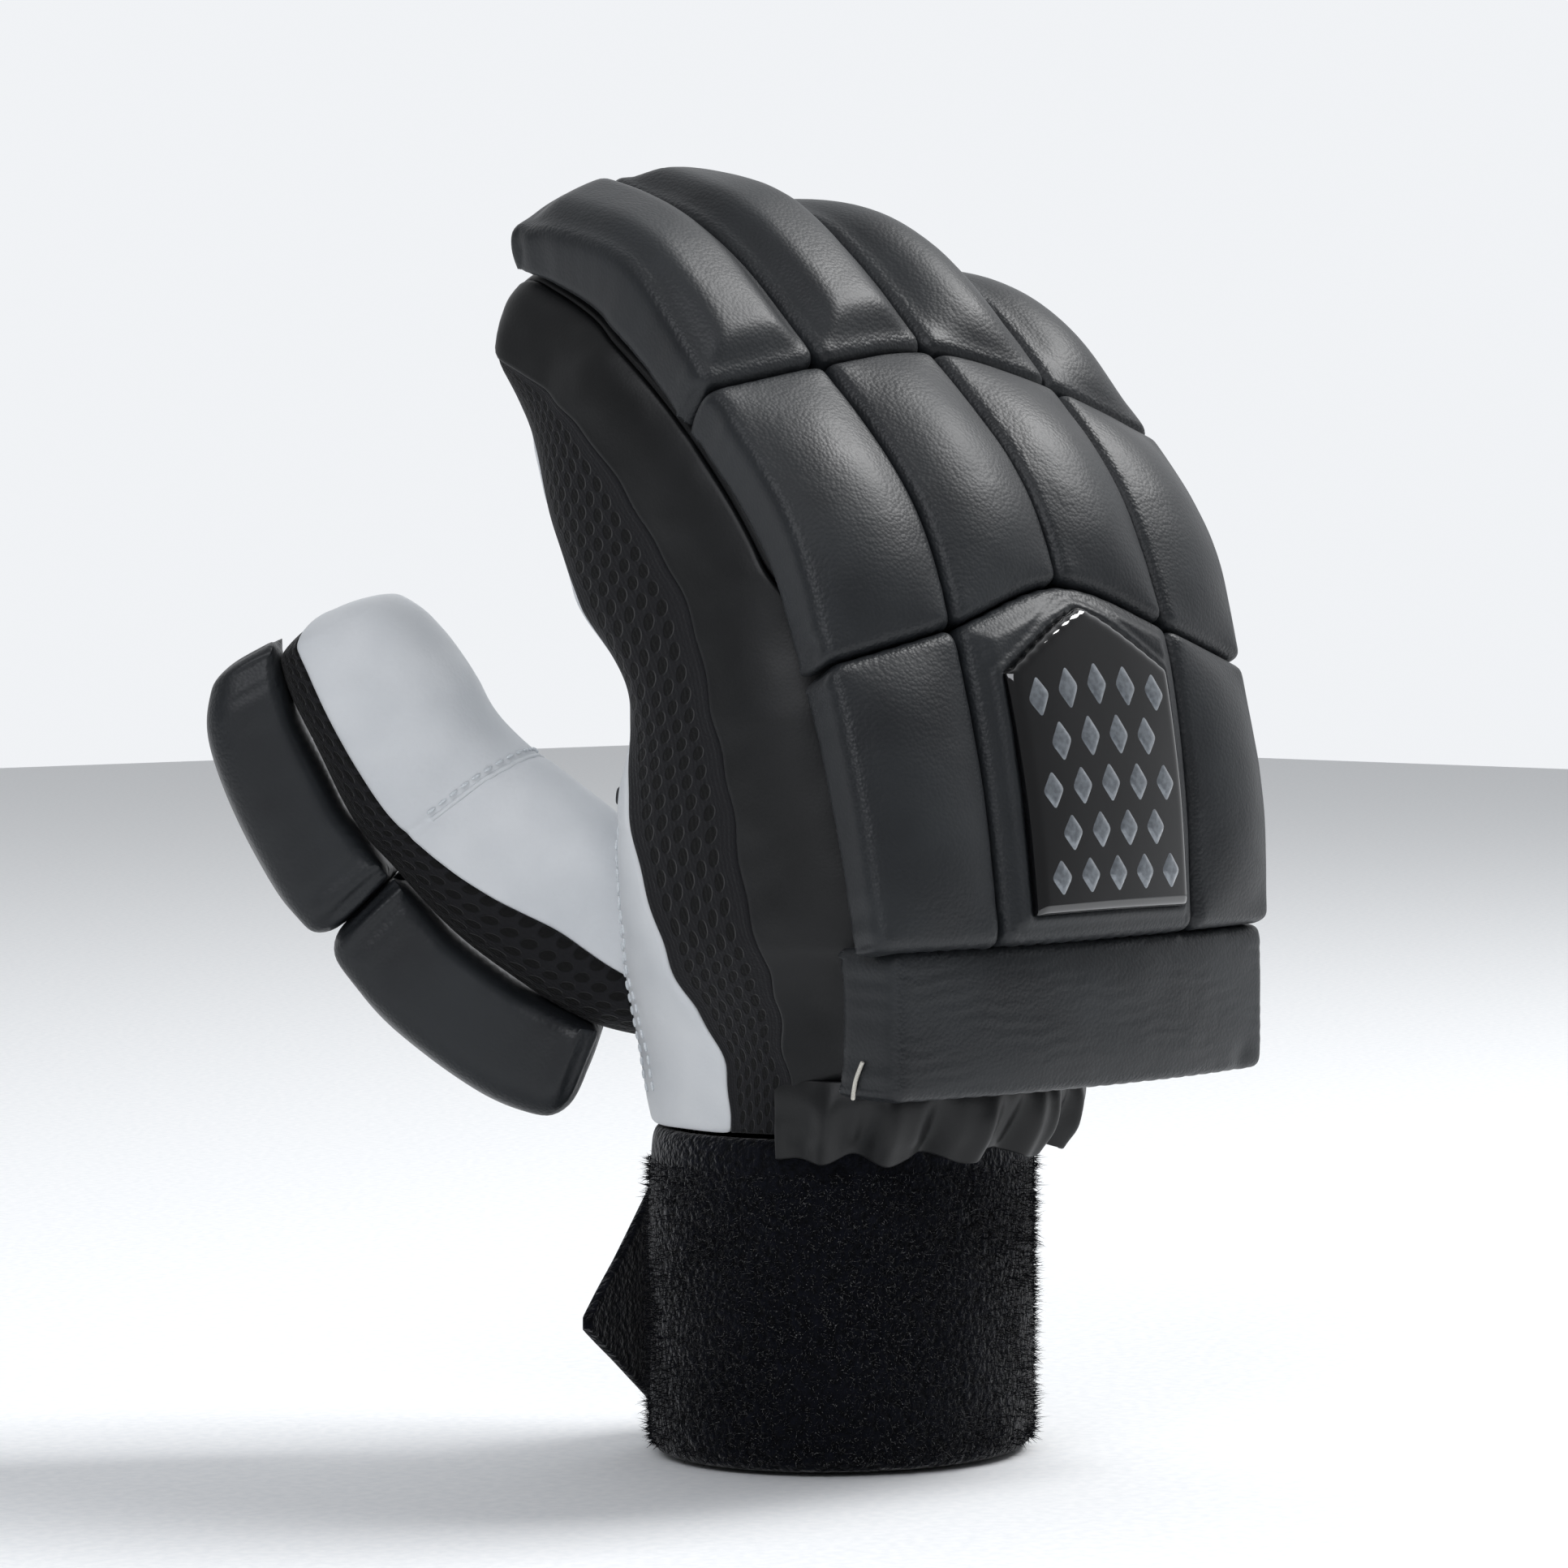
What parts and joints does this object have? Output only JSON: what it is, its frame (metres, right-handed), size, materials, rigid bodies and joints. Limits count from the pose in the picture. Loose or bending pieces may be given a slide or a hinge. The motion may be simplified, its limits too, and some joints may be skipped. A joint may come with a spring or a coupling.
{
  "type": "cricket batting glove",
  "caption": "Right-hand cricket batting glove with padded black finger rolls, white leather palm and thumb, knitted side gussets and a towelling cuff, standing on its cuff.",
  "frame": {"origin": "under the middle of the glove's outline, on the plane that the cuff stands on", "axes": "+Z from the cuff to the finger tips, -Y toward the padded back of the hand, -X toward the thumb"},
  "size_m": [0.1656, 0.1852, 0.2753],
  "materials": {
    "pad_leather": "satin",
    "strip_leather": "satin",
    "white_leather": "matte",
    "black_knit": "matte",
    "towelling": "matte",
    "gloss_plate": "gloss"
  },
  "bodies": {
    "root": {"back_shell": "strip_leather", "badge": "gloss_plate", "badge_panel": "pad_leather", "cuff": "towelling", "cuff_strap": "towelling", "index_knuckle_pad": "pad_leather", "index_mid_pad": "pad_leather", "index_side_mesh": "black_knit", "index_side_strip": "strip_leather", "index_tip_pad": "pad_leather", "little_knuckle_pad": "pad_leather", "little_mid_pad": "pad_leather", "little_side_mesh": "black_knit", "little_side_strip": "strip_leather", "little_tip_pad": "pad_leather", "middle_mid_pad": "pad_leather", "middle_tip_pad": "pad_leather", "palm_leather": "white_leather", "ring_mid_pad": "pad_leather", "ring_tip_pad": "pad_leather", "thumb_base_pad": "pad_leather", "thumb_leather": "white_leather", "thumb_mesh": "black_knit", "thumb_tip_pad": "pad_leather", "wrist_roll": "pad_leather", "wrist_skirt": "strip_leather"}
  },
  "joints": []
}
